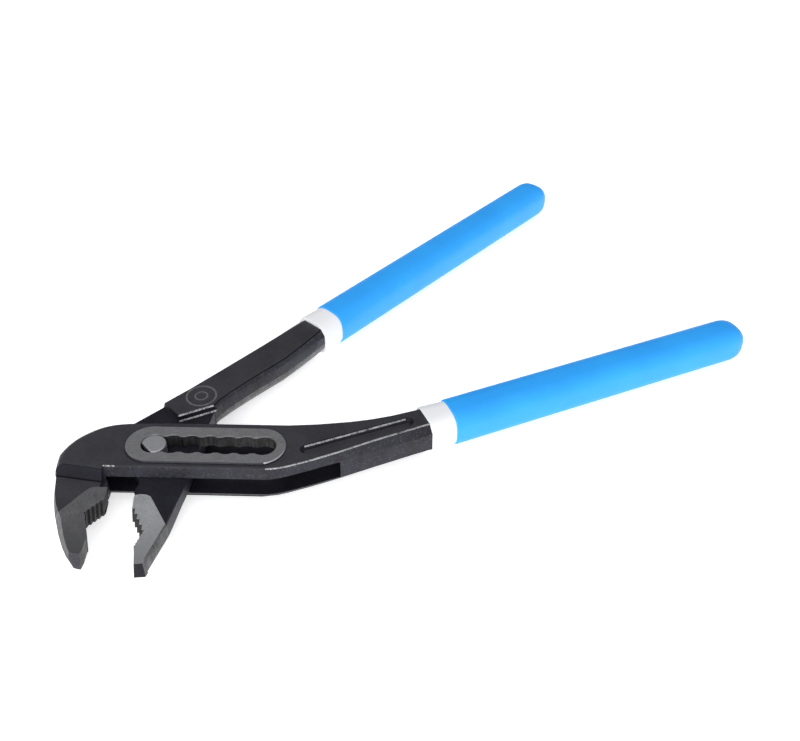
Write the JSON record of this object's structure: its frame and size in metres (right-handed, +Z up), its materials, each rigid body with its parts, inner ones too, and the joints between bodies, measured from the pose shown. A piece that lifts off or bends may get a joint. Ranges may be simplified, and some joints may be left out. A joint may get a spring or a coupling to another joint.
{
  "type": "water pump pliers",
  "caption": "Adjustable box-joint pliers with a scalloped slot, angled toothed jaws and two dip-coated handles, lying flat and part open.",
  "frame": {"origin": "centre of the outline in the rest pose, on the plane the tool lies on", "axes": "+X along the slot from the head to the handles, +Y from the jaw tips to the back of the head, +Z up along the pivot pin"},
  "size_m": [0.2396, 0.2266, 0.0154],
  "materials": {
    "coated_steel": "semi-gloss black coating over forged steel",
    "ground_steel": "ground bare steel",
    "band": "satin white dipped plastic",
    "grip": "smooth satin azure dipped plastic"
  },
  "bodies": {
    "outer_half": {"outer_lever": "coated_steel", "outer_band": "band", "outer_grip": "grip"},
    "pin": {"joint_pin": "ground_steel"},
    "inner_half": {"inner_lever": "coated_steel", "inner_band": "band", "inner_grip": "grip"}
  },
  "joints": [
    {"name": "jaw_setting", "type": "slide", "parent": "outer_half", "child": "pin", "axis": [1, 0, 0], "range_m": [0, 0.036]},
    {"name": "handle_pivot", "type": "hinge", "parent": "pin", "child": "inner_half", "pos_m": [-0.08823, -0.0663, 0.0077], "axis": [0, 0, 1], "range_deg": [-20.5, 55]}
  ]
}
